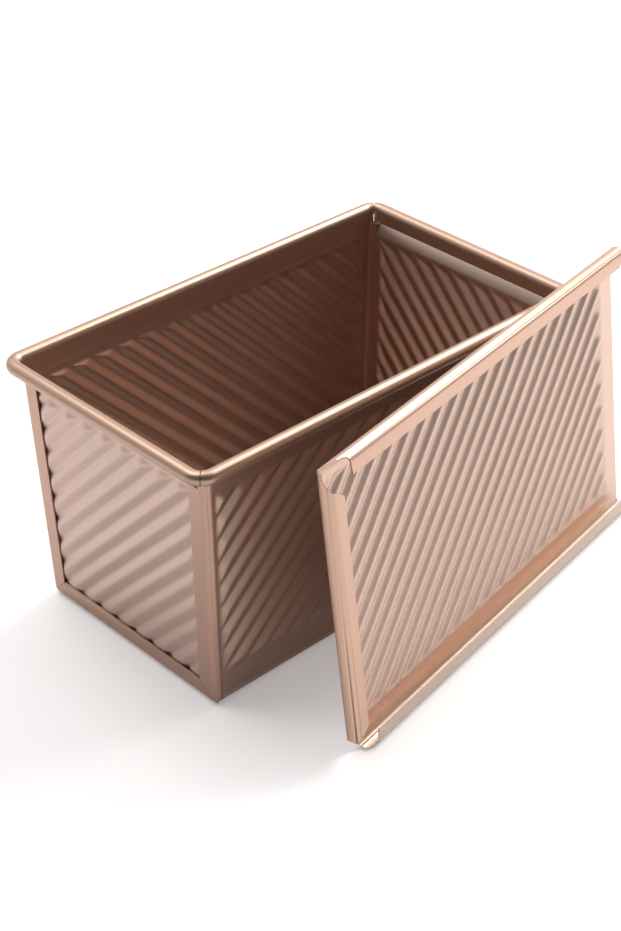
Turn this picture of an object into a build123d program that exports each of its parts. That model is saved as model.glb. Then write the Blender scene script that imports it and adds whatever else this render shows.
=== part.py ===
from build123d import *
from math import cos, degrees, hypot, radians, sin, sqrt
import os

os.makedirs("parts", exist_ok=True)

# A corrugated pullman loaf pan with its sliding lid. X runs along the pan, Y across it and Z up.
# The origin is the middle of the pan's underside. The near end is at -X and the front is at -Y,
# where the lid stands on its long edge and leans towards the rim. Lengths are in millimetres.

# Sheet, folds and the overrun that every cut takes
sheet = 0.6
fold_radius = 3.4
fold_land = 0.6
overrun = 1.0

# Pan, over its outer faces
pan_height = 118.0
base_length = 191.0
base_width = 107.0

# Rim: a sheet edge rolled round a wire, on a centreline of this length and width
rim_length = 208.0
rim_width = 118.0
rim_corner_radius = 6.0
bead_diameter = 6.0
bead_leg_drop = 5.0
wire_clearance = 0.1
seam_gap = 0.3
seam_turn = 45.0
end_overhang = 4.0

# Hems: the wrap sheet's edges folded over the end panels, which are set back behind them
hem_width = 9.5
hem_recess = 1.3
hem_top_drop = 3.2
hem_seam = 0.2
step_height = 4.0
step_side_clearance = 0.3

# Corrugation: ribs at half a right angle that fade out at their ends
rib_pitch = 8.1
rib_width = 7.2
rib_height = 1.4
rib_end_run = 3.2
rib_slant = 45.0

# Plain margins round the ribs
wall_rib_side_margin = 5.2
wall_rib_foot_margin = 16.0
wall_rib_top_margin = 6.5
panel_rib_side_margin = 8.3
panel_rib_foot_margin = 8.3
panel_rib_top_margin = 1.8
lid_rib_closed_margin = 5.8
lid_rib_open_margin = 9.6
lid_rib_lower_margin = 12.2
lid_rib_upper_margin = 7.6

# How far the rib pattern is moved across its ribs from the middle of its field
wall_rib_shift = -2.95
panel_rib_shift = -1.6
lid_rib_shift = -1.2

# Lid: how loosely it runs on the rim, and its channels
lid_side_clearance = 2.2
lid_end_clearance = 1.0
lid_gap_clearance = 0.4
lid_bend = 4.2
lip_bend = 3.0
lid_lip = 7.8
lid_overlap = 0.8
lip_chamfer = 4.0
notch_foot = 1.4
notch_top = 6.1
notch_runner_start = 13.0
notch_runner_end = 14.0
notch_end_start = 8.5
notch_end_end = 13.4
corner_clip = 9.4

# How the lid stands beside the pan
lid_yaw = 10.2
lid_lean = 7.1
lid_foot_x = -79.0
lid_rest_gap = 0.15

half_turn = (0, 0, 180)

# Worked out from the sizes above
bead_radius = bead_diameter / 2
rim_z = pan_height - bead_radius
wall_top = rim_z - bead_leg_drop
leg_offset = bead_radius - sheet
top_width = rim_width - 2 * leg_offset
top_length = rim_length - 2 * end_overhang
fold_edge = fold_radius + fold_land
hem_top = wall_top - hem_top_drop
step_foot = wall_top - step_height
end_slope = (top_length - base_length) / 2 / wall_top
side_slope = (top_width - base_width) / 2 / wall_top
rib_radius = ((rib_width / 2) ** 2 + rib_height**2) / (2 * rib_height)
rib_centre_depth = rib_radius - rib_height
channel_depth = bead_diameter + lid_gap_clearance + 2 * sheet
lid_edge = lid_bend + fold_land
lid_width = rim_width + bead_diameter + 2 * (lid_side_clearance + sheet)
lid_length = rim_length + bead_diameter + lid_end_clearance + sheet + lid_overlap
reach = hypot(rim_length, rim_width)


def half_length(z):
    """Half of the pan's outer length at a height."""
    return base_length / 2 + end_slope * z


def half_width(z):
    """Half of the pan's outer width at a height."""
    return base_width / 2 + side_slope * z


def tapered_block(end_inset, side_inset, low, high):
    """A block between two heights that keeps the walls' taper, inset from their outer faces."""
    with BuildPart() as block:
        for z in (low, high):
            with BuildSketch(Plane.XY.offset(z)):
                Rectangle(2 * (half_length(z) - end_inset), 2 * (half_width(z) - side_inset))
        loft(ruled=True)
    return block.part


def folded_block(inset, high):
    """The space inside the wrap sheet's face at an inset, with its folds rounded."""
    with BuildPart() as block:
        add(tapered_block(inset, inset, inset, high))
        fillet(block.edges().sort_by(Axis.Z)[:-4], fold_radius - inset)
    return block.part


def rib_section(radius, floor_depth):
    """The part of a rib's round section that lies above a depth under the sheet's outer face."""
    half_chord = sqrt(radius**2 - (rib_centre_depth - floor_depth) ** 2)
    with BuildSketch() as section:
        with BuildLine():
            crest = (0, radius - rib_centre_depth)
            arc = ThreePointArc((-half_chord, -floor_depth), crest, (half_chord, -floor_depth))
            Line(arc @ 1, arc @ 0)
        make_face()
    return section.sketch


def rib_bundle(face, field, slant, inner):
    """Slanting ribs on a field (foot, top, half width at each, shift), or the grooves behind them."""
    foot, top, foot_half, top_half, shift = field
    radius = rib_radius - sheet if inner else rib_radius
    floor_depth = sheet + overrun / 2 if inner else sheet / 2
    drop = sheet if inner else 0
    angle = radians(slant)
    along = face.x_dir * cos(angle) + face.y_dir * sin(angle)
    across = face.y_dir * cos(angle) - face.x_dir * sin(angle)
    centre = face.from_local_coords((0, (foot + top) / 2, 0)) + across * shift
    span = (top - foot + foot_half + top_half) * sin(radians(rib_slant))
    count = round(span / rib_pitch) - 1
    with BuildPart() as bundle:
        with BuildSketch(Plane(origin=centre, x_dir=across, z_dir=along)):
            with GridLocations(rib_pitch, rib_pitch, count, 1):
                add(rib_section(radius, floor_depth))
        extrude(amount=reach, both=True)
        with BuildPart(mode=Mode.PRIVATE) as frustum:
            for level in (-floor_depth - overrun, rib_height + overrun):
                run = rib_end_run * (level + drop) / rib_height
                with BuildSketch(face.offset(level)):
                    with BuildLine():
                        Polyline(
                            (run - foot_half, foot + run),
                            (foot_half - run, foot + run),
                            (top_half - run, top - run),
                            (run - top_half, top - run),
                            close=True,
                        )
                    make_face()
            loft(ruled=True)
        add(frustum.part, mode=Mode.INTERSECT)
    return bundle.part


def corrugate(face, field, slant):
    """Presses ribs into the sheet of the sub-part that is being built."""
    add(rib_bundle(face, field, slant, False))
    add(rib_bundle(face, field, slant, True), mode=Mode.SUBTRACT)


# Wrap sheet: front wall, base and rear wall in one sheet, with hems folded round both ends
with BuildPart() as wrap:
    add(folded_block(0, wall_top))
    add(folded_block(sheet, wall_top + overrun), mode=Mode.SUBTRACT)
    add(tapered_block(-overrun, hem_width, hem_width, wall_top + overrun), mode=Mode.SUBTRACT)
    add(tapered_block(-overrun, fold_edge, hem_top, wall_top + overrun), mode=Mode.SUBTRACT)

middle = tapered_block(fold_edge, -overrun, -overrun, wall_top + overrun)

front_face = Plane(
    origin=(0, -half_width(0), 0),
    x_dir=(1, 0, 0),
    z_dir=(0, -1, -side_slope),
)
wall_rib_top = wall_top - wall_rib_top_margin
wall_field = (
    wall_rib_foot_margin,
    wall_rib_top,
    half_length(wall_rib_foot_margin) - wall_rib_side_margin,
    half_length(wall_rib_top) - wall_rib_side_margin,
    wall_rib_shift,
)

with BuildPart() as front_wall:
    add(wrap.part)
    add(middle, mode=Mode.INTERSECT)
    split(bisect_by=Plane.XY.offset(fold_edge), keep=Keep.TOP)
    split(bisect_by=Plane.XZ, keep=Keep.TOP)
    corrugate(front_face, wall_field, rib_slant)
front_wall.part.label = "front_wall"

with BuildPart() as rear_wall:
    add(front_wall.part, rotation=half_turn)
rear_wall.part.label = "rear_wall"

with BuildPart() as base_sheet:
    add(wrap.part)
    add(middle, mode=Mode.INTERSECT)
    split(bisect_by=Plane.XY.offset(fold_edge), keep=Keep.BOTTOM)
base_sheet.part.label = "base_sheet"

# Hems at the near end, mitred at their lower corners
front_mitre = Plane(origin=(0, -half_width(0), 0), x_dir=(1, 0, 0), z_dir=(0, -1, 1))
rear_mitre = Plane(origin=(0, half_width(0), 0), x_dir=(1, 0, 0), z_dir=(0, 1, 1))

with BuildPart() as near_frame:
    add(wrap.part)
    add(middle, mode=Mode.SUBTRACT)
    split(bisect_by=Plane.YZ, keep=Keep.BOTTOM)

with BuildPart() as near_front_hem:
    add(near_frame.part)
    split(bisect_by=Plane.XZ, keep=Keep.TOP)
    split(bisect_by=front_mitre, keep=Keep.TOP)
near_front_hem.part.label = "near_front_hem"

with BuildPart() as near_rear_hem:
    add(near_frame.part)
    split(bisect_by=Plane.XZ, keep=Keep.BOTTOM)
    split(bisect_by=rear_mitre, keep=Keep.TOP)
near_rear_hem.part.label = "near_rear_hem"

with BuildPart() as near_base_hem:
    add(near_frame.part)
    split(bisect_by=front_mitre.offset(-hem_seam), keep=Keep.BOTTOM)
    split(bisect_by=rear_mitre.offset(-hem_seam), keep=Keep.BOTTOM)
near_base_hem.part.label = "near_base_hem"

with BuildPart() as far_rear_hem:
    add(near_front_hem.part, rotation=half_turn)
far_rear_hem.part.label = "far_rear_hem"

with BuildPart() as far_front_hem:
    add(near_rear_hem.part, rotation=half_turn)
far_front_hem.part.label = "far_front_hem"

with BuildPart() as far_base_hem:
    add(near_base_hem.part, rotation=half_turn)
far_base_hem.part.label = "far_base_hem"

# End panels: shallow trays whose turned edges sit behind the hems, stepped out under the rim, with
# a cheek closing each end of the step
panel_foot = 2 * sheet
step_side = fold_edge + step_side_clearance
end_face = Plane(
    origin=(hem_recess - half_length(0), 0, 0),
    x_dir=(0, -1, 0),
    z_dir=(-1, 0, -end_slope),
)
panel_field = (
    panel_rib_foot_margin,
    step_foot - panel_rib_top_margin,
    half_width(panel_rib_foot_margin) - panel_rib_side_margin,
    half_width(step_foot) - panel_rib_side_margin,
    panel_rib_shift,
)

with BuildPart() as near_end_panel:
    add(folded_block(sheet, wall_top))
    add(tapered_block(hem_recess + sheet, -overrun, -overrun, wall_top), mode=Mode.SUBTRACT)
    split(bisect_by=Plane.YZ, keep=Keep.BOTTOM)
    with BuildPart(mode=Mode.PRIVATE) as pocket:
        add(tapered_block(-overrun, panel_foot, panel_foot, wall_top))
        add(tapered_block(hem_recess, -overrun, -overrun, wall_top), mode=Mode.SUBTRACT)
    add(pocket.part, mode=Mode.SUBTRACT)
    add(tapered_block(-overrun, step_side, step_foot, wall_top), mode=Mode.SUBTRACT)
    with BuildSketch(Plane.XY.offset(step_foot)):
        with Locations((hem_recess + sheet / 2 - half_length(step_foot), 0)):
            Rectangle(sheet, 2 * (half_width(step_foot) - step_side))
    with BuildSketch(Plane.XY.offset(wall_top)):
        with Locations((leg_offset - sheet / 2 - rim_length / 2, 0)):
            Rectangle(sheet, 2 * (half_width(wall_top) - step_side))
    loft(ruled=True)
    cheek_side = half_width(wall_top) - step_side
    with BuildSketch(Plane.XZ.offset(cheek_side)):
        with BuildLine():
            Polyline(
                (hem_recess - half_length(step_foot), step_foot),
                (leg_offset - sheet - rim_length / 2, wall_top),
                (hem_recess + sheet - half_length(wall_top), wall_top),
                (hem_recess + sheet - half_length(step_foot), step_foot),
                close=True,
            )
        make_face()
    cheek = extrude(amount=-sheet)
    mirror(cheek, about=Plane.XZ)
    corrugate(end_face, panel_field, rib_slant)
near_end_panel.part.label = "near_end_panel"

with BuildPart() as far_end_panel:
    add(near_end_panel.part, rotation=half_turn)
far_end_panel.part.label = "far_end_panel"


# Rim: four rolled beads that meet in seams at the corners, round one wire
def rolled_bead(straight, distance):
    """A bead on the front side: its roll and leg along a straight, turned round half of each corner."""
    turn = seam_turn - degrees(seam_gap / 2 / rim_corner_radius)
    with BuildPart() as bead:
        for side in (-1, 1):
            section_plane = Plane(
                origin=(side * straight / 2, -distance, rim_z),
                x_dir=(0, -1, 0),
                z_dir=(-1, 0, 0),
            )
            with BuildSketch(section_plane) as section:
                Circle(bead_radius)
                Circle(bead_radius - sheet, mode=Mode.SUBTRACT)
                with Locations((-bead_radius, -bead_leg_drop)):
                    Rectangle(sheet, bead_leg_drop, align=(Align.MIN, Align.MIN))
            corner = (side * straight / 2, rim_corner_radius - distance, rim_z)
            revolve(section.sketch, axis=Axis(corner, (0, 0, side)), revolution_arc=turn)
        extrude(section.sketch, amount=straight)
    return bead.part


long_straight = rim_length - 2 * rim_corner_radius
short_straight = rim_width - 2 * rim_corner_radius

with BuildPart() as front_bead:
    add(rolled_bead(long_straight, rim_width / 2))
front_bead.part.label = "front_bead"

with BuildPart() as rear_bead:
    add(front_bead.part, rotation=half_turn)
rear_bead.part.label = "rear_bead"

with BuildPart() as near_end_bead:
    add(rolled_bead(short_straight, rim_length / 2), rotation=(0, 0, -90))
near_end_bead.part.label = "near_end_bead"

with BuildPart() as far_end_bead:
    add(near_end_bead.part, rotation=half_turn)
far_end_bead.part.label = "far_end_bead"

with BuildPart() as rim_wire:
    with BuildLine(Plane.XY.offset(rim_z)) as rim_path:
        FilletPolyline(
            (-rim_length / 2, -rim_width / 2),
            (rim_length / 2, -rim_width / 2),
            (rim_length / 2, rim_width / 2),
            (-rim_length / 2, rim_width / 2),
            radius=rim_corner_radius,
            close=True,
        )
    with BuildSketch(rim_path.line ^ 0):
        Circle(bead_radius - sheet - wire_clearance)
    sweep()
rim_wire.part.label = "rim_wire"

# Lid, first laid out flat: u along it from the closed end, v across it, w out of its underside
with BuildSketch() as channel_section:
    with BuildLine():
        outer = FilletPolyline(
            (lid_edge, 0),
            (0, 0),
            (0, channel_depth),
            (lid_lip, channel_depth),
            radius=(lid_bend, lip_bend),
        )
        inner = FilletPolyline(
            (lid_edge, sheet),
            (sheet, sheet),
            (sheet, channel_depth - sheet),
            (lid_lip, channel_depth - sheet),
            radius=(lid_bend - sheet, lip_bend - sheet),
        )
        Line(outer @ 0, inner @ 0)
        Line(outer @ 1, inner @ 1)
    make_face()

notch_height = channel_depth - notch_top + overrun
notch_reach = lid_lip + overrun
clear_level = channel_depth + overrun
clip = Plane(origin=(corner_clip, 0, 0), x_dir=(0, 0, 1), z_dir=(1, 1, 0))


def notch_side(length):
    """The side view of a corner notch, which rises from near the panel to the lip over a length."""
    with BuildSketch() as side:
        with BuildLine():
            Polyline(
                (-overrun, notch_foot),
                (0, notch_foot),
                (length, notch_top),
                (length, clear_level),
                (-overrun, clear_level),
                close=True,
            )
        make_face()
    return side.sketch


with BuildPart() as flat_runner:
    with BuildSketch(Plane.YZ):
        add(channel_section.sketch)
    extrude(amount=lid_length)
    corner_cut = Plane(origin=(0, 0, 0), x_dir=(0, 0, 1), z_dir=(1, -1, 0))
    split(bisect_by=corner_cut, keep=Keep.TOP)
    with BuildSketch(Plane.XZ.offset(overrun)):
        add(notch_side(notch_runner_start))
    extrude(amount=-overrun - notch_reach, mode=Mode.SUBTRACT)
    with BuildSketch(Plane.XY.offset(notch_top)):
        with BuildLine():
            Polyline(
                (-overrun, -overrun),
                (notch_runner_start, -overrun),
                (notch_runner_start, 0),
                (notch_runner_end, lid_lip),
                (notch_runner_end, notch_reach),
                (-overrun, notch_reach),
                close=True,
            )
        make_face()
        with BuildLine():
            Polyline(
                (lid_length - lip_chamfer, lid_lip),
                (lid_length, lid_lip - lip_chamfer),
                (lid_length + overrun, lid_lip - lip_chamfer),
                (lid_length + overrun, notch_reach),
                (lid_length - lip_chamfer, notch_reach),
                close=True,
            )
        make_face()
    extrude(amount=notch_height, mode=Mode.SUBTRACT)

with BuildPart() as flat_end_channel:
    with BuildSketch(Plane.XZ.offset(-lid_width)):
        add(channel_section.sketch)
    extrude(amount=lid_width)
    near_cut = Plane(origin=(0, 0, 0), x_dir=(0, 0, 1), z_dir=(-1, 1, 0))
    far_cut = Plane(origin=(0, lid_width, 0), x_dir=(0, 0, 1), z_dir=(-1, -1, 0))
    split(bisect_by=near_cut, keep=Keep.TOP)
    split(bisect_by=far_cut, keep=Keep.TOP)
    split(bisect_by=clip, keep=Keep.TOP)
    with BuildSketch(Plane.YZ.offset(-overrun)):
        add(notch_side(notch_end_start))
        mirror(about=Plane.YZ.offset(lid_width / 2))
    extrude(amount=overrun + notch_reach, mode=Mode.SUBTRACT)
    with BuildSketch(Plane.XY.offset(notch_top)):
        with BuildLine():
            Polyline(
                (-overrun, -overrun),
                (-overrun, notch_end_start),
                (0, notch_end_start),
                (lid_lip, notch_end_end),
                (notch_reach, notch_end_end),
                (notch_reach, -overrun),
                close=True,
            )
        make_face()
        mirror(about=Plane.XZ.offset(-lid_width / 2))
    extrude(amount=notch_height, mode=Mode.SUBTRACT)

lid_field = (
    lid_rib_lower_margin,
    lid_width - lid_rib_upper_margin,
    (lid_length - lid_rib_open_margin - lid_rib_closed_margin) / 2,
    (lid_length - lid_rib_open_margin - lid_rib_closed_margin) / 2,
    lid_rib_shift,
)
lid_field_centre = (lid_length - lid_rib_open_margin + lid_rib_closed_margin) / 2
lid_back = Plane(origin=(lid_field_centre, 0, 0), x_dir=(-1, 0, 0), z_dir=(0, 0, -1))

with BuildPart() as flat_panel:
    with BuildSketch():
        with Locations((lid_edge, lid_edge)):
            Rectangle(
                lid_length - lid_edge,
                lid_width - 2 * lid_edge,
                align=(Align.MIN, Align.MIN),
            )
    extrude(amount=sheet)
    corrugate(lid_back, lid_field, 180 - rib_slant)

# The lid's place: its lower bend on the ground, the ribs of its back against the rim's corner
yaw = radians(lid_yaw)
lean = radians(lid_lean)
lid_out = Vector(sin(yaw) * cos(lean), -cos(yaw) * cos(lean), sin(lean))
rim_corner = Vector(long_straight / 2, -short_straight / 2, rim_z)
rim_reach = rim_corner.dot(lid_out) + rim_corner_radius * cos(lean) + bead_radius
lid_offset = rim_reach + rib_height + lid_rest_gap
lid_foot_z = lid_bend * (1 - cos(lean) - sin(lean))
lid_foot_y = (lid_offset - lid_foot_x * lid_out.X - lid_foot_z * lid_out.Z) / lid_out.Y
lid_frame = Plane(
    origin=(lid_foot_x, lid_foot_y, lid_foot_z),
    x_dir=(cos(yaw), sin(yaw), 0),
    z_dir=lid_out,
)

with BuildPart() as lid_panel:
    add(flat_panel.part.moved(lid_frame.location))
lid_panel.part.label = "lid_panel"

with BuildPart() as clipped_runner:
    add(flat_runner.part)
    split(bisect_by=clip, keep=Keep.TOP)

with BuildPart() as lid_lower_runner:
    add(clipped_runner.part.moved(lid_frame.location))
lid_lower_runner.part.label = "lid_lower_runner"

with BuildPart() as lid_upper_runner:
    turned = flat_runner.part.mirror(Plane.XZ.offset(-lid_width / 2))
    add(turned.moved(lid_frame.location))
lid_upper_runner.part.label = "lid_upper_runner"

with BuildPart() as lid_end_channel:
    add(flat_end_channel.part.moved(lid_frame.location))
lid_end_channel.part.label = "lid_end_channel"

export_step(front_wall.part, "parts/front_wall.step")
export_step(rear_wall.part, "parts/rear_wall.step")
export_step(base_sheet.part, "parts/base_sheet.step")
export_step(near_front_hem.part, "parts/near_front_hem.step")
export_step(near_rear_hem.part, "parts/near_rear_hem.step")
export_step(near_base_hem.part, "parts/near_base_hem.step")
export_step(far_front_hem.part, "parts/far_front_hem.step")
export_step(far_rear_hem.part, "parts/far_rear_hem.step")
export_step(far_base_hem.part, "parts/far_base_hem.step")
export_step(near_end_panel.part, "parts/near_end_panel.step")
export_step(far_end_panel.part, "parts/far_end_panel.step")
export_step(front_bead.part, "parts/front_bead.step")
export_step(rear_bead.part, "parts/rear_bead.step")
export_step(near_end_bead.part, "parts/near_end_bead.step")
export_step(far_end_bead.part, "parts/far_end_bead.step")
export_step(rim_wire.part, "parts/rim_wire.step")
export_step(lid_panel.part, "parts/lid_panel.step")
export_step(lid_upper_runner.part, "parts/lid_upper_runner.step")
export_step(lid_lower_runner.part, "parts/lid_lower_runner.step")
export_step(lid_end_channel.part, "parts/lid_end_channel.step")
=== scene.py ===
from math import ceil, cos, pi, radians, sin

import bpy
import numpy as np
from mathutils import Matrix, Vector


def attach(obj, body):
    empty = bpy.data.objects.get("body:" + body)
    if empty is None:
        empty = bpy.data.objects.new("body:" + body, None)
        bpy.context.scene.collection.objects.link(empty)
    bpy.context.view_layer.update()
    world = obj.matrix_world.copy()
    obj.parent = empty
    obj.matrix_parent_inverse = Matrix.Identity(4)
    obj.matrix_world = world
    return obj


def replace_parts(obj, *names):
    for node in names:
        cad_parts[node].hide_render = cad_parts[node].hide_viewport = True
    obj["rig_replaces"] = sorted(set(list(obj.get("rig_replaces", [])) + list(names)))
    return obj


bl_info = {
    "name": "Corrugated Loaf Pan",
    "version": (1, 0, 0),
    "blender": (4, 5, 0),
    "location": "View3D > Sidebar > Loaf Pan",
    "description": "Dresses a corrugated loaf pan and its sliding lid: pressed sheets, hems, rolled rim and coating",
    "category": "Add Mesh",
}

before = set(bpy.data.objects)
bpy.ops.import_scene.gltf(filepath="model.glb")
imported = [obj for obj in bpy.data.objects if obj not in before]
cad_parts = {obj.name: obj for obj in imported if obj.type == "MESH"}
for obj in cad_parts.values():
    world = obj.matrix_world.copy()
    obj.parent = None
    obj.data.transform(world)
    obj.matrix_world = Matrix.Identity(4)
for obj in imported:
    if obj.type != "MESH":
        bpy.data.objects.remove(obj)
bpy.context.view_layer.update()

# Sizes, colours and light


class LoafPanSizes(bpy.types.PropertyGroup):
    """Sizes of the pressed sheets, in metres."""

    sheet: bpy.props.FloatProperty(
        name="Sheet", description="Thickness of the steel", default=0.0006, unit="LENGTH"
    )
    rib_pitch: bpy.props.FloatProperty(
        name="Rib pitch", description="From one rib to the next, across the ribs", default=0.0081, unit="LENGTH"
    )
    rib_width: bpy.props.FloatProperty(
        name="Rib width", description="Width of a rib at its foot", default=0.0072, unit="LENGTH"
    )
    rib_height: bpy.props.FloatProperty(
        name="Rib height", description="How far a rib stands out of its sheet", default=0.0014, unit="LENGTH"
    )
    rib_end_run: bpy.props.FloatProperty(
        name="Rib end", description="Length over which a rib sinks into its sheet", default=0.0032, unit="LENGTH"
    )
    rib_softness: bpy.props.FloatProperty(
        name="Rib softness", description="Rounding where a rib rises from its sheet", default=0.00022, unit="LENGTH"
    )
    rib_steps: bpy.props.IntProperty(
        name="Rib steps", description="Mesh steps from one rib to the next", default=14, min=4
    )
    along_step: bpy.props.FloatProperty(
        name="Mesh along", description="Mesh spacing along the ribs", default=0.0011, unit="LENGTH"
    )
    press_line_height: bpy.props.FloatProperty(
        name="Press line", description="Depth of the line pressed under the rim", default=0.00025, unit="LENGTH"
    )


class LoafPanFinish(bpy.types.PropertyGroup):
    """Colours and gloss of the coatings; the wall, hem, rim and lid channel colours are darker or paler copies that
    paint shade and light.
    """

    pan_coating: bpy.props.FloatVectorProperty(
        name="Pan coating", description="Colour of the pan's coating", subtype="COLOR", size=4,
        default=(0.61, 0.45, 0.38, 1.0),
    )
    # Painted shade: the long walls take a darker copy of the pan's coating, standing in for the shade that the
    # leaning lid throws on the front wall; the rear wall shares it.
    wall_coating: bpy.props.FloatVectorProperty(
        name="Wall coating", description="Colour of the long walls' coating", subtype="COLOR", size=4,
        default=(0.5, 0.35, 0.285, 1.0),
    )
    # Painted shade: the hems take a darker, redder copy of the pan's coating, standing in for the shade on the
    # folded edges.
    hem_coating: bpy.props.FloatVectorProperty(
        name="Hem coating", description="Colour of the coating on the folded hems", subtype="COLOR", size=4,
        default=(0.54, 0.35, 0.27, 1.0),
    )
    # Painted shade: the rolled rim takes a darker copy of the pan's coating, standing in for the shade on the
    # underside of the roll.
    rim_coating: bpy.props.FloatVectorProperty(
        name="Rim coating", description="Colour of the rolled rim's coating", subtype="COLOR", size=4,
        default=(0.52, 0.35, 0.265, 1.0),
    )
    lid_coating: bpy.props.FloatVectorProperty(
        name="Lid coating", description="Colour of the lid's coating", subtype="COLOR", size=4,
        default=(0.74, 0.545, 0.45, 1.0),
    )
    # Painted shade: the lid's upper and end channels take a darker, browner copy of the lid's coating, standing in
    # for the shade on their lips.
    bend_coating: bpy.props.FloatVectorProperty(
        name="Lid bend coating", description="Colour of the lid's upper and end channels", subtype="COLOR", size=4,
        default=(0.7, 0.465, 0.36, 1.0),
    )
    # Painted light: the lid's lower channel takes a creamier, slightly paler copy of the lid's coating, standing in
    # for the light from above that falls into it.
    foot_coating: bpy.props.FloatVectorProperty(
        name="Lid foot coating", description="Colour of the lid's lower channel", subtype="COLOR", size=4,
        default=(0.7, 0.57, 0.48, 1.0),
    )
    wire_steel: bpy.props.FloatVectorProperty(
        name="Rim wire", description="Colour of the wire inside the rim", subtype="COLOR", size=4,
        default=(0.2, 0.17, 0.15, 1.0),
    )
    roughness: bpy.props.FloatProperty(
        name="Roughness", description="How satin the coating is", default=0.4, min=0.0, max=1.0, subtype="FACTOR"
    )


class LoafPanStudio(bpy.types.PropertyGroup):
    """Floor and light."""

    floor: bpy.props.FloatVectorProperty(
        name="Floor", description="Colour of the floor", subtype="COLOR", size=4, default=(0.93, 0.915, 0.92, 1.0)
    )
    floor_glow: bpy.props.FloatProperty(
        name="Floor glow", description="How much whiter the floor looks than it is lit", default=0.27, min=0.0
    )
    mirrored_glow: bpy.props.FloatProperty(
        name="Mirrored glow", description="Share of that glow seen in reflections", default=0.12, min=0.0, max=1.0
    )
    key_power: bpy.props.FloatProperty(
        name="Key", description="Power of the large light at the right", default=18.0, unit="POWER"
    )
    top_power: bpy.props.FloatProperty(
        name="Top", description="Power of the wide light overhead", default=10.0, unit="POWER"
    )
    backdrop: bpy.props.FloatProperty(
        name="Backdrop", description="Strength of the light from the pale side", default=0.9, min=0.0
    )
    surroundings: bpy.props.FloatProperty(
        name="Surroundings", description="Tone of the dim side, as a share of the backdrop", default=0.06, min=0.0
    )


# Where things are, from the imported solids

MM = 0.001
BASE_LENGTH = 191 * MM
BASE_WIDTH = 107 * MM
WALL_TOP = 110 * MM
TOP_LENGTH = 200 * MM
TOP_WIDTH = 113.2 * MM
FOLD_EDGE = 4 * MM
HEM_RECESS = 1.3 * MM
STEP_FOOT = 106 * MM
STEP_SIDE = 4.3 * MM
RIM_HALF_LENGTH = 104 * MM
RIM_LEG = 2.4 * MM
RIM_LEG_TURN = 3 * MM
RIM_CORNER_Y = 53 * MM
LID_LENGTH = 216.4 * MM
LID_WIDTH = 129.6 * MM
LID_EDGE = 4.8 * MM
END_SLOPE = (TOP_LENGTH - BASE_LENGTH) / 2 / WALL_TOP
SIDE_SLOPE = (TOP_WIDTH - BASE_WIDTH) / 2 / WALL_TOP
LID_YAW = radians(10.2)
LID_LEAN = radians(7.1)
LID_ORIGIN = Vector((-0.079, -0.11021811, -0.00048692))
ON_PLANE = 1e-7
HAIR = 1e-6
BACKDROP_SIDE = (0.55, 0.8, 0.2)
HALF_TURN = Matrix.Rotation(pi, 4, "Z")
FRAME_HEIGHT = 931
FOCAL_PIXELS = 1950.8
CAMERA_AZIMUTH = radians(-43.54)
CAMERA_ELEVATION = radians(33.36)
CAMERA_RIGHT = 5.43 * MM
CAMERA_UP = 39.26 * MM
CAMERA_BACK = 869.2 * MM


def half_length(z):
    """Half of the pan's outer length at a height."""
    return BASE_LENGTH / 2 + END_SLOPE * z


def half_width(z):
    """Half of the pan's outer width at a height."""
    return BASE_WIDTH / 2 + SIDE_SLOPE * z


def basis(origin, x_axis, z_axis):
    """The matrix that carries a sheet drawn flat to its place."""
    x = Vector(x_axis).normalized()
    z = Vector(z_axis).normalized()
    y = z.cross(x)
    return Matrix.Translation(origin) @ Matrix((x, y, z)).transposed().to_4x4()


FRONT_FACE = basis((0, -BASE_WIDTH / 2, 0), (1, 0, 0), (0, -1, -SIDE_SLOPE))
NEAR_FACE = basis((HEM_RECESS - BASE_LENGTH / 2, 0, 0), (0, -1, 0), (-1, 0, -END_SLOPE))
LID_OUT = Vector((sin(LID_YAW) * cos(LID_LEAN), -cos(LID_YAW) * cos(LID_LEAN), sin(LID_LEAN)))
LID_ALONG = Vector((cos(LID_YAW), sin(LID_YAW), 0))
LID_BACK = basis(LID_ORIGIN, -LID_ALONG, -LID_OUT)


# Shaping by hand


def deselect():
    """Leaves nothing selected."""
    if bpy.context.object and bpy.context.object.mode != "OBJECT":
        bpy.ops.object.mode_set(mode="OBJECT")
    bpy.ops.object.select_all(action="DESELECT")


def pick(piece):
    """Makes a piece the only one selected."""
    deselect()
    piece.select_set(True)
    bpy.context.view_layer.objects.active = piece


def apply_modifier(piece, name, kind, **settings):
    """Adds a modifier and applies it."""
    pick(piece)
    modifier = piece.modifiers.new(name, kind)
    for key, value in settings.items():
        setattr(modifier, key, value)
    bpy.ops.object.modifier_apply(modifier=modifier.name)


def trim(piece, point, outward):
    """Cuts off all of a piece beyond a plane."""
    pick(piece)
    bpy.ops.object.mode_set(mode="EDIT")
    bpy.ops.mesh.select_all(action="SELECT")
    bpy.ops.mesh.bisect(
        plane_co=point, plane_no=outward, clear_outer=True, use_fill=False, threshold=ON_PLANE
    )
    bpy.ops.object.mode_set(mode="OBJECT")


def points_of(piece):
    """A piece's vertices as an array."""
    points = np.empty(len(piece.data.vertices) * 3)
    piece.data.vertices.foreach_get("co", points)
    return points.reshape(-1, 3)


def move_points(piece, points):
    """Puts a piece's vertices at the rows of an array."""
    piece.data.vertices.foreach_set("co", points.ravel())
    piece.data.update()


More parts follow.
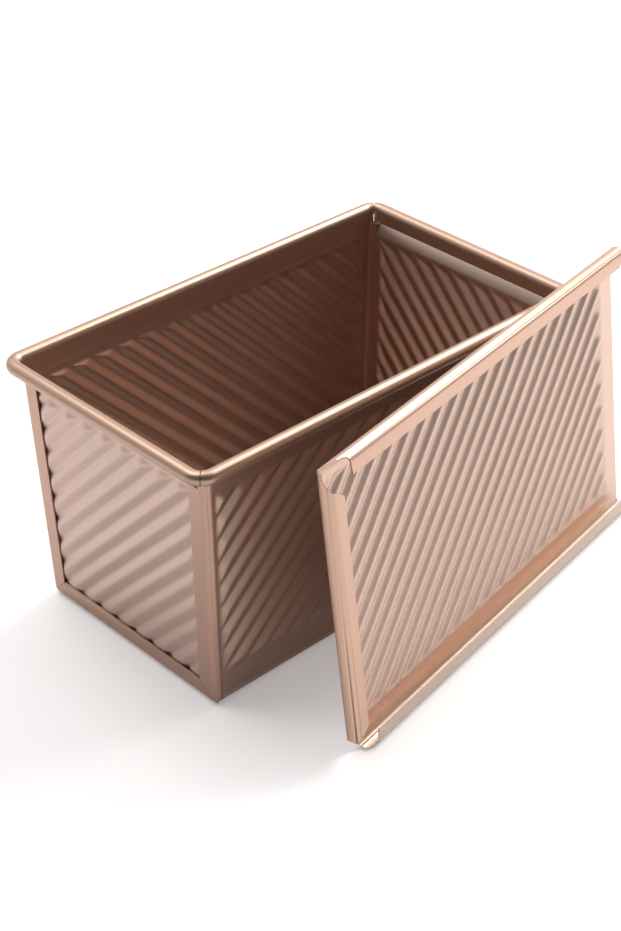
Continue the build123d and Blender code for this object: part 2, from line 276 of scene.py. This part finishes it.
def slanted_grid(name, centre, across, along, sizes):
    """A flat grid about a field's centre, whose fine lines run along ribs that rise to the right."""
    step = sizes.rib_pitch / sizes.rib_steps
    rows = 2 * ceil(across / 2 / step)
    deselect()
    bpy.ops.mesh.primitive_grid_add(
        x_subdivisions=round(along / sizes.along_step),
        y_subdivisions=rows,
        size=1,
        location=(centre[0], centre[1], 0),
        rotation=(0, 0, pi / 4),
    )
    piece = bpy.context.object
    piece.scale = (along, rows * step, 1)
    piece.name = name
    piece.data.name = name
    bpy.ops.object.transform_apply(location=True, rotation=True, scale=True)
    return piece


def soft_max(a, b, softness):
    """The larger of two heights, rounded where they cross."""
    return (a + b + np.sqrt((a - b) ** 2 + softness**2)) / 2 - softness / 2


def soft_min(a, b, softness):
    """The smaller of two heights, rounded where they cross."""
    return -soft_max(-a, -b, softness)


def rib_height(distance, sizes):
    """Height of ribs with nearly straight sides at a distance across them from the middle of one."""
    offset = (distance + sizes.rib_pitch / 2) % sizes.rib_pitch - sizes.rib_pitch / 2
    crown = sizes.rib_height * (1 - (np.abs(offset) / (sizes.rib_width / 2)) ** 1.3)
    return soft_max(crown, np.zeros_like(crown), sizes.rib_softness)


def press_ribs(piece, field, rise, sizes):
    """Raises ribs on a flat sheet's field (foot, top, half width at each, centre, crest shift)."""
    foot, top, foot_half, top_half, centre, shift = field
    points = points_of(piece)
    x = points[:, 0] - centre
    y = points[:, 1]
    half = foot_half + (top_half - foot_half) * (y - foot) / (top - foot)
    inside = np.minimum(np.minimum(half - x, half + x), np.minimum(y - foot, top - y))
    across = ((y - (foot + top) / 2) - rise * x) / np.sqrt(2) + shift
    ribs = rib_height(across, sizes)
    ramp = inside * sizes.rib_height / sizes.rib_end_run
    height = soft_min(ribs, ramp, sizes.rib_softness)
    points[:, 2] += np.maximum(height, 0)
    move_points(piece, points)


def smooth(piece, degrees=40):
    """Shades a piece smooth, with its folds and cut edges left sharp."""
    pick(piece)
    bpy.ops.object.shade_smooth_by_angle(angle=radians(degrees))


def settle(piece, body, slot, finish, *nodes):
    """Gives a finished piece its coating, its body and the nodes that it stands for."""
    piece.data.materials.clear()
    piece.data.materials.append(finish)
    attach(piece, body)
    if nodes:
        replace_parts(piece, *nodes)


def copy_turned(piece, name, node):
    """A copy of a piece on the other side of the pan, with its own mesh, that stands for another node."""
    twin = piece.copy()
    twin.data = piece.data.copy()
    twin.name = name
    twin.data.name = name
    twin.data.transform(HALF_TURN)
    bpy.context.scene.collection.objects.link(twin)
    settle(twin, "pan", "pan_coated_steel", twin.data.materials[0])
    twin["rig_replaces"] = []
    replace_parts(twin, node)


def merged_copy(node, name):
    """A joined-up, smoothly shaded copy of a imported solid."""
    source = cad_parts[node]
    piece = bpy.data.objects.new(name, source.data.copy())
    piece.data.name = name
    bpy.context.scene.collection.objects.link(piece)
    pick(piece)
    bpy.ops.object.mode_set(mode="EDIT")
    bpy.ops.mesh.select_all(action="SELECT")
    bpy.ops.mesh.remove_doubles(threshold=0.000002)
    bpy.ops.object.mode_set(mode="OBJECT")
    smooth(piece, 30)
    return piece


# Finishes


class Value:
    """A socket in a finish, on which arithmetic adds Math nodes."""

    def __init__(self, finish, socket):
        self.finish = finish
        self.socket = socket

    def math(self, operation, *others):
        """A Math node on this value and others."""
        return self.finish.add("ShaderNodeMath", {"operation": operation}, dict(enumerate((self, *others))))

    def __add__(self, other):
        return self.math("ADD", other)

    def __mul__(self, other):
        return self.math("MULTIPLY", other)

    __radd__ = __add__
    __rmul__ = __mul__


class Finish:
    """The nodes of a material or of the world, and the main shader among them."""

    def __init__(self, owner, shader="Principled BSDF", **constants):
        self.owner = owner
        owner.use_nodes = True
        self.tree = owner.node_tree
        self.shader = self.tree.nodes[shader]
        for key, value in constants.items():
            self.shader.inputs[key.replace("_", " ")].default_value = value

    def add(self, kind, settings, inputs, output=0):
        """Adds a node: its settings first, then the values or links of its sockets."""
        node = self.tree.nodes.new(kind)
        for key, value in settings.items():
            if key == "stops":
                for stop, (position, colour) in zip(node.color_ramp.elements, value):
                    stop.position = position
                    stop.color = colour
            elif key == "interpolation":
                node.color_ramp.interpolation = value
            else:
                setattr(node, key, value)
        for key, value in inputs.items():
            if isinstance(value, Value):
                self.tree.links.new(value.socket, node.inputs[key])
            else:
                node.inputs[key].default_value = value
        return Value(self, node.outputs[output])

    def blend_colours(self, factor, first, second):
        """A colour between two others."""
        return self.add(
            "ShaderNodeMix", {"data_type": "RGBA"}, {0: factor, 6: first, 7: second}, 2
        )

    def feed(self, **links):
        """Links varying values to the main shader."""
        for key, value in links.items():
            self.tree.links.new(value.socket, self.shader.inputs[key.replace("_", " ")])


def shade(colour, amount):
    """A colour made darker or lighter."""
    return tuple(min(channel * amount, 1.0) for channel in colour[:3]) + (1.0,)


def coated_steel(name, colour, roughness):
    """Satin non-stick coating on pressed steel: faint clouding, fine grain and a soft sheen."""
    material = bpy.data.materials.new(name)
    finish = Finish(material, Metallic=0.9, Coat_Weight=0.06, Coat_Roughness=0.25)
    place = finish.add("ShaderNodeTexCoord", {}, {}, 3)
    cloud = finish.add("ShaderNodeTexNoise", {}, {"Vector": place, "Scale": 22.0, "Detail": 3.0, "Roughness": 0.5})
    grain = finish.add("ShaderNodeTexNoise", {}, {"Vector": place, "Scale": 1900.0, "Detail": 2.0})
    fleck = finish.add("ShaderNodeTexNoise", {}, {"Vector": place, "Scale": 5200.0, "Detail": 1.0})
    tone = finish.blend_colours(cloud, shade(colour, 0.94), shade(colour, 1.06))
    finish.feed(
        Base_Color=finish.blend_colours(fleck * 0.5, tone, colour),
        Roughness=roughness - 0.07 + cloud * 0.08 + grain * 0.06,
        Normal=finish.add("ShaderNodeBump", {}, {"Strength": 0.12, "Distance": 0.00004, "Height": grain}),
    )
    return finish.owner


def drawn_wire(name, colour):
    """Bright drawn wire with marks along it."""
    finish = Finish(bpy.data.materials.new(name), Metallic=1.0)
    place = finish.add("ShaderNodeTexCoord", {}, {}, 3)
    marks = finish.add("ShaderNodeTexNoise", {}, {"Vector": place, "Scale": 900.0, "Detail": 3.0})
    finish.feed(
        Base_Color=finish.blend_colours(marks, shade(colour, 0.8), shade(colour, 1.2)),
        Roughness=0.3 + marks * 0.25,
    )
    return finish.owner


def coating(kind):
    """The finish of one kind of piece, made when it is first asked for."""
    name = kind + "_coating"
    if name in bpy.data.materials:
        return bpy.data.materials[name]
    look = bpy.context.scene.loaf_pan_finish
    if kind == "wire":
        return drawn_wire(name, look.wire_steel)
    return coated_steel(name, getattr(look, name), look.roughness)


# Pieces


class LOAFPAN_OT_long_walls(bpy.types.Operator):
    """Presses the corrugated front and rear walls"""

    bl_idname = "loafpan.long_walls"
    bl_label = "Long Walls"

    def execute(self, context):
        sizes = context.scene.loaf_pan_sizes
        foot, top = 16 * MM, 103.5 * MM
        margin = 5.2 * MM
        shift = 2.95 * MM
        reach = 222 * MM
        line_height, line_spread = 106.2 * MM, 0.55 * MM
        front = slanted_grid("front_wall_sheet", (0, (foot + top) / 2), reach, reach, sizes)
        trim(front, (0, FOLD_EDGE, 0), (0, -1, 0))
        trim(front, (0, WALL_TOP, 0), (0, 1, 0))
        for side in (-1, 1):
            trim(front, (side * (half_length(0) - FOLD_EDGE), 0, 0), (side, -END_SLOPE, 0))
        field = (foot, top, half_length(foot) - margin, half_length(top) - margin, 0, shift)
        press_ribs(front, field, 1, sizes)
        points = points_of(front)
        line = np.exp(-(((points[:, 1] - line_height) / line_spread) ** 2))
        points[:, 2] += line * sizes.press_line_height
        move_points(front, points)
        apply_modifier(front, "Sheet", "SOLIDIFY", thickness=sizes.sheet, offset=-1)
        front.data.transform(FRONT_FACE)
        smooth(front)
        # The long walls get the darkened wall colour, which paints the shade between the pan and the lid.
        settle(front, "pan", "pan_coated_steel", coating("wall"), "front_wall")
        copy_turned(front, "rear_wall_sheet", "rear_wall")
        return {"FINISHED"}


class LOAFPAN_OT_end_panels(bpy.types.Operator):
    """Presses the corrugated panels of both ends, with their turned edges and the step under the rim"""

    bl_idname = "loafpan.end_panels"
    bl_label = "End Panels"

    def execute(self, context):
        sizes = context.scene.loaf_pan_sizes
        inset = 1.2 * MM
        foot, top = 8.3 * MM, STEP_FOOT - 1.8 * MM
        margin = 8.3 * MM
        shift = 1.6 * MM - sizes.rib_pitch / 2
        reach = 166 * MM
        near = slanted_grid("near_end_sheet", (0, (foot + top) / 2), reach, reach, sizes)
        trim(near, (0, inset / 2, 0), (0, -1, 0))
        trim(near, (0, WALL_TOP, 0), (0, 1, 0))
        for side in (-1, 1):
            trim(near, (side * (half_width(0) - inset / 2), 0, 0), (side, -SIDE_SLOPE, 0))
        field = (foot, top, half_width(foot) - margin, half_width(STEP_FOOT) - margin, 0, shift)
        press_ribs(near, field, 1, sizes)
        pick(near)
        bpy.ops.object.mode_set(mode="EDIT")
        bpy.ops.mesh.select_all(action="SELECT")
        bpy.ops.mesh.bisect(plane_co=(0, STEP_FOOT, 0), plane_no=(0, 1, 0), threshold=ON_PLANE)
        for side in (-1, 1):
            bpy.ops.mesh.select_all(action="SELECT")
            bpy.ops.mesh.bisect(
                plane_co=(side * (half_width(0) - STEP_SIDE), 0, 0),
                plane_no=(side, -SIDE_SLOPE, 0),
                threshold=ON_PLANE,
            )
        bpy.ops.mesh.select_all(action="DESELECT")
        bpy.ops.object.mode_set(mode="OBJECT")
        for face in near.data.polygons:
            x, z, _ = face.center
            face.select = z > STEP_FOOT and abs(x) < half_width(z) - STEP_SIDE
        bpy.ops.object.mode_set(mode="EDIT")
        bpy.ops.mesh.delete(type="FACE")
        bpy.ops.object.mode_set(mode="OBJECT")
        for edge in near.data.edges:
            ends = [near.data.vertices[index].co for index in edge.vertices]
            edge.select = all(
                abs(end.y - STEP_FOOT) < HAIR and abs(end.x) < half_width(STEP_FOOT) - STEP_SIDE + HAIR
                for end in ends
            )
        bpy.ops.object.mode_set(mode="EDIT")
        bpy.ops.mesh.select_mode(type="EDGE")
        rise = WALL_TOP - STEP_FOOT
        out = RIM_HALF_LENGTH - RIM_LEG - (half_length(STEP_FOOT) - HEM_RECESS) - END_SLOPE * rise
        bpy.ops.mesh.extrude_region_move(TRANSFORM_OT_translate={"value": (0, rise, out)})
        bpy.ops.mesh.select_mode(type="VERT")
        for side in (-1, 1):
            bpy.ops.mesh.select_all(action="DESELECT")
            bpy.ops.object.mode_set(mode="OBJECT")
            for vertex in near.data.vertices:
                x, z, lift = vertex.co
                on_cut = z > STEP_FOOT - HAIR and abs(side * x - half_width(z) + STEP_SIDE) < HAIR
                on_tip = lift > out - HAIR and side * x > half_width(STEP_FOOT) - STEP_SIDE - HAIR
                vertex.select = on_cut or on_tip
            bpy.ops.object.mode_set(mode="EDIT")
            bpy.ops.mesh.edge_face_add()
        bpy.ops.mesh.select_all(action="DESELECT")
        bpy.ops.object.mode_set(mode="OBJECT")
        for vertex in near.data.vertices:
            vertex.select = vertex.co.y > WALL_TOP - HAIR and vertex.co.z < HAIR
        bpy.ops.object.mode_set(mode="EDIT")
        bpy.ops.mesh.extrude_region_move(TRANSFORM_OT_translate={"value": (0, 0, 10 * HAIR)})
        bpy.ops.object.mode_set(mode="OBJECT")
        leg = out - sizes.sheet
        for vertex in near.data.vertices:
            if vertex.select:
                past = max(abs(vertex.co.x) - RIM_CORNER_Y, 0)
                arc = np.sqrt(max(RIM_LEG_TURN**2 - past**2, 0)) - RIM_LEG_TURN
                vertex.co.z = max(leg + arc, 10 * HAIR)
        bpy.ops.object.mode_set(mode="EDIT")
        bpy.ops.mesh.select_all(action="SELECT")
        bpy.ops.mesh.normals_make_consistent(inside=False)
        bpy.ops.object.mode_set(mode="OBJECT")
        if sum(face.normal.z for face in near.data.polygons) < 0:
            near.data.flip_normals()
        apply_modifier(near, "Sheet", "SOLIDIFY", thickness=sizes.sheet, offset=-1, use_even_offset=True)
        near.data.transform(NEAR_FACE)
        smooth(near)
        settle(near, "pan", "pan_coated_steel", coating("pan"), "near_end_panel")
        copy_turned(near, "far_end_sheet", "far_end_panel")
        return {"FINISHED"}


class LOAFPAN_OT_wrap_folds(bpy.types.Operator):
    """Finishes the base and the six hems folded over the end panels"""

    bl_idname = "loafpan.wrap_folds"
    bl_label = "Base and Hems"

    def execute(self, context):
        base = merged_copy("base_sheet", "base_sheet_fold")
        settle(base, "pan", "pan_coated_steel", coating("pan"), "base_sheet")
        for end in ("near", "far"):
            for side in ("front", "rear", "base"):
                node = f"{end}_{side}_hem"
                hem = merged_copy(node, node + "_fold")
                # Each hem gets the darkened hem colour, painted shade on the pan's coating.
                settle(hem, "pan", "pan_coated_steel", coating("hem"), node)
        return {"FINISHED"}


class LOAFPAN_OT_rolled_rim(bpy.types.Operator):
    """Finishes the four rolled edges and the wire that they are rolled round"""

    bl_idname = "loafpan.rolled_rim"
    bl_label = "Rolled Rim"

    def execute(self, context):
        for node in ("front_bead", "rear_bead", "near_end_bead", "far_end_bead"):
            # The rolled edges get the darkened rim colour, painted shade on the pan's coating.
            settle(merged_copy(node, node + "_roll"), "pan", "rim_coated_steel", coating("rim"), node)
        wire = merged_copy("rim_wire", "rim_wire_core")
        settle(wire, "pan", "rim_wire_steel", coating("wire"), "rim_wire")
        return {"FINISHED"}


class LOAFPAN_OT_lid_sheet(bpy.types.Operator):
    """Presses the lid's corrugated sheet"""

    bl_idname = "loafpan.lid_sheet"
    bl_label = "Lid Sheet"

    def execute(self, context):
        sizes = context.scene.loaf_pan_sizes
        foot, top = 12.2 * MM, LID_WIDTH - 7.6 * MM
        closed, opened = 5.8 * MM, LID_LENGTH - 9.6 * MM
        centre = -(closed + opened) / 2
        reach = 248 * MM
        sheet = slanted_grid("lid_sheet", (centre, (foot + top) / 2), reach, reach, sizes)
        points = points_of(sheet)
        points[:, 0] = 2 * centre - points[:, 0]
        move_points(sheet, points)
        sheet.data.flip_normals()
        trim(sheet, (0, LID_EDGE, 0), (0, -1, 0))
        trim(sheet, (0, LID_WIDTH - LID_EDGE, 0), (0, 1, 0))
        trim(sheet, (-LID_EDGE, 0, 0), (1, 0, 0))
        trim(sheet, (-LID_LENGTH, 0, 0), (-1, 0, 0))
        half = (opened - closed) / 2
        shift = sizes.rib_pitch / 2 - 1.2 * MM
        press_ribs(sheet, (foot, top, half, half, centre, shift), -1, sizes)
        apply_modifier(sheet, "Sheet", "SOLIDIFY", thickness=sizes.sheet, offset=-1)
        sheet.data.transform(LID_BACK)
        smooth(sheet)
        settle(sheet, "lid", "lid_coated_steel", coating("lid"), "lid_panel")
        return {"FINISHED"}


class LOAFPAN_OT_lid_channels(bpy.types.Operator):
    """Finishes the lid's two running channels and the one at its closed end"""

    bl_idname = "loafpan.lid_channels"
    bl_label = "Lid Channels"

    def execute(self, context):
        for node in ("lid_upper_runner", "lid_lower_runner", "lid_end_channel"):
            # The lower channel gets the creamier foot colour, painted light, and the other two the darker bend
            # colour, painted shade.
            finish = coating("foot" if node == "lid_lower_runner" else "bend")
            settle(merged_copy(node, node + "_bend"), "lid", "lid_coated_steel", finish, node)
        return {"FINISHED"}


# Stage


def soft_light(name, place, target, size, power, colour):
    """A square area light that faces a point."""
    lamp = bpy.data.lights.new(name, "AREA")
    lamp.shape = "SQUARE"
    lamp.size = size
    lamp.energy = power
    lamp.color = colour
    holder = bpy.data.objects.new(name, lamp)
    bpy.context.scene.collection.objects.link(holder)
    holder.location = place
    holder.rotation_euler = (Vector(target) - Vector(place)).to_track_quat("-Z", "Y").to_euler()
    return holder


def floor_finish(colour, glow, mirrored_share):
    """A pale matt floor that shows white to the camera and in reflections, and keeps its shadows."""
    material = bpy.data.materials.new("pale_floor")
    finish = Finish(material, Roughness=0.9, Specular_IOR_Level=0.1, Emission_Strength=glow)
    place = finish.add("ShaderNodeTexCoord", {}, {}, 3)
    cloud = finish.add("ShaderNodeTexNoise", {}, {"Vector": place, "Scale": 3.0})
    seen = finish.add("ShaderNodeLightPath", {}, {}, "Is Camera Ray")
    mirrored = finish.add("ShaderNodeLightPath", {}, {}, "Is Glossy Ray")
    through = finish.add("ShaderNodeLightPath", {}, {}, "Is Transmission Ray")
    white = (1.0, 1.0, 1.0, 1.0)
    finish.feed(
        Base_Color=finish.blend_colours(cloud, shade(colour, 0.99), shade(colour, 1.01)),
        Emission_Color=finish.blend_colours(
            seen.math("MAXIMUM", mirrored * mirrored_share).math("MAXIMUM", through), (0.0, 0.0, 0.0, 1.0), white
        ),
    )
    return finish.owner


def light_round_the_object(world, backdrop, dim):
    """A world that is pale on one side and dim on the other, with a soft change between them."""
    finish = Finish(world, "Background", Strength=backdrop)
    direction = finish.add("ShaderNodeTexCoord", {}, {}, "Generated")
    side = Vector(BACKDROP_SIDE).normalized()
    facing = finish.add("ShaderNodeVectorMath", {"operation": "DOT_PRODUCT"}, {0: direction, 1: side}, "Value")
    stops = ((0.42, (dim, dim, dim, 1.0)), (0.68, (1.0, 0.99, 0.98, 1.0)))
    settings = {"interpolation": "EASE", "stops": stops}
    finish.feed(Color=finish.add("ShaderNodeValToRGB", settings, {"Fac": facing * 0.5 + 0.5}))


class LOAFPAN_OT_stage(bpy.types.Operator):
    """Sets out the floor, the soft light and the camera"""

    bl_idname = "loafpan.stage"
    bl_label = "Studio"

    def execute(self, context):
        studio = context.scene.loaf_pan_studio
        scene = context.scene
        scene.view_settings.view_transform = "Standard"

        deselect()
        below = (0, 0, -0.5 * MM)
        bpy.ops.mesh.primitive_circle_add(vertices=96, radius=30, fill_type="NGON", location=below)
        floor = context.object
        floor.name = "floor"
        bpy.ops.object.transform_apply(location=True, rotation=True, scale=True)
        floor.data.materials.append(floor_finish(studio.floor, studio.floor_glow, studio.mirrored_glow))

        world = bpy.data.worlds.new("surroundings")
        scene.world = world
        light_round_the_object(world, studio.backdrop, studio.surroundings)

        target = (0, -0.03, 0.05)
        soft_light("key_light", (1.05, -0.05, 1.05), target, 0.9, studio.key_power, (1.0, 0.985, 0.96))
        soft_light("top_light", (-0.2, 0.55, 1.5), target, 1.0, studio.top_power, (1.0, 0.99, 0.98))

        camera = bpy.data.cameras.new("camera")
        camera.lens = FOCAL_PIXELS * camera.sensor_width / FRAME_HEIGHT
        holder = bpy.data.objects.new("camera", camera)
        scene.collection.objects.link(holder)
        azimuth, elevation = CAMERA_AZIMUTH, CAMERA_ELEVATION
        back = Vector((sin(azimuth) * cos(elevation), -cos(azimuth) * cos(elevation), sin(elevation)))
        right = Vector((cos(azimuth), sin(azimuth), 0))
        up = back.cross(right)
        turn = Matrix((right, up, back)).transposed().to_4x4()
        holder.matrix_world = Matrix.Translation(right * CAMERA_RIGHT + up * CAMERA_UP + back * CAMERA_BACK) @ turn
        camera.clip_start = 0.01
        camera.clip_end = 50
        scene.camera = holder
        return {"FINISHED"}


class LOAFPAN_PT_pieces(bpy.types.Panel):
    """Lists the pieces of the loaf pan"""

    bl_idname = "LOAFPAN_PT_pieces"
    bl_label = "Loaf Pan"
    bl_space_type = "VIEW_3D"
    bl_region_type = "UI"
    bl_category = "Loaf Pan"

    def draw(self, context):
        for operator in operators:
            self.layout.operator(operator.bl_idname)


operators = (
    LOAFPAN_OT_long_walls,
    LOAFPAN_OT_end_panels,
    LOAFPAN_OT_wrap_folds,
    LOAFPAN_OT_rolled_rim,
    LOAFPAN_OT_lid_sheet,
    LOAFPAN_OT_lid_channels,
    LOAFPAN_OT_stage,
)
groups = {
    "loaf_pan_sizes": LoafPanSizes,
    "loaf_pan_finish": LoafPanFinish,
    "loaf_pan_studio": LoafPanStudio,
}


def register():
    """Adds the settings, the operators and the panel."""
    for kind in (*groups.values(), *operators, LOAFPAN_PT_pieces):
        bpy.utils.register_class(kind)
    for name, group in groups.items():
        setattr(bpy.types.Scene, name, bpy.props.PointerProperty(type=group))


def unregister():
    """Takes them away again."""
    for name in groups:
        delattr(bpy.types.Scene, name)
    for kind in reversed((*groups.values(), *operators, LOAFPAN_PT_pieces)):
        bpy.utils.unregister_class(kind)


def main():
    """Makes every piece and the stage."""
    register()
    bpy.ops.loafpan.long_walls()
    bpy.ops.loafpan.end_panels()
    bpy.ops.loafpan.wrap_folds()
    bpy.ops.loafpan.rolled_rim()
    bpy.ops.loafpan.lid_sheet()
    bpy.ops.loafpan.lid_channels()
    bpy.ops.loafpan.stage()


if __name__ == "__main__":
    main()
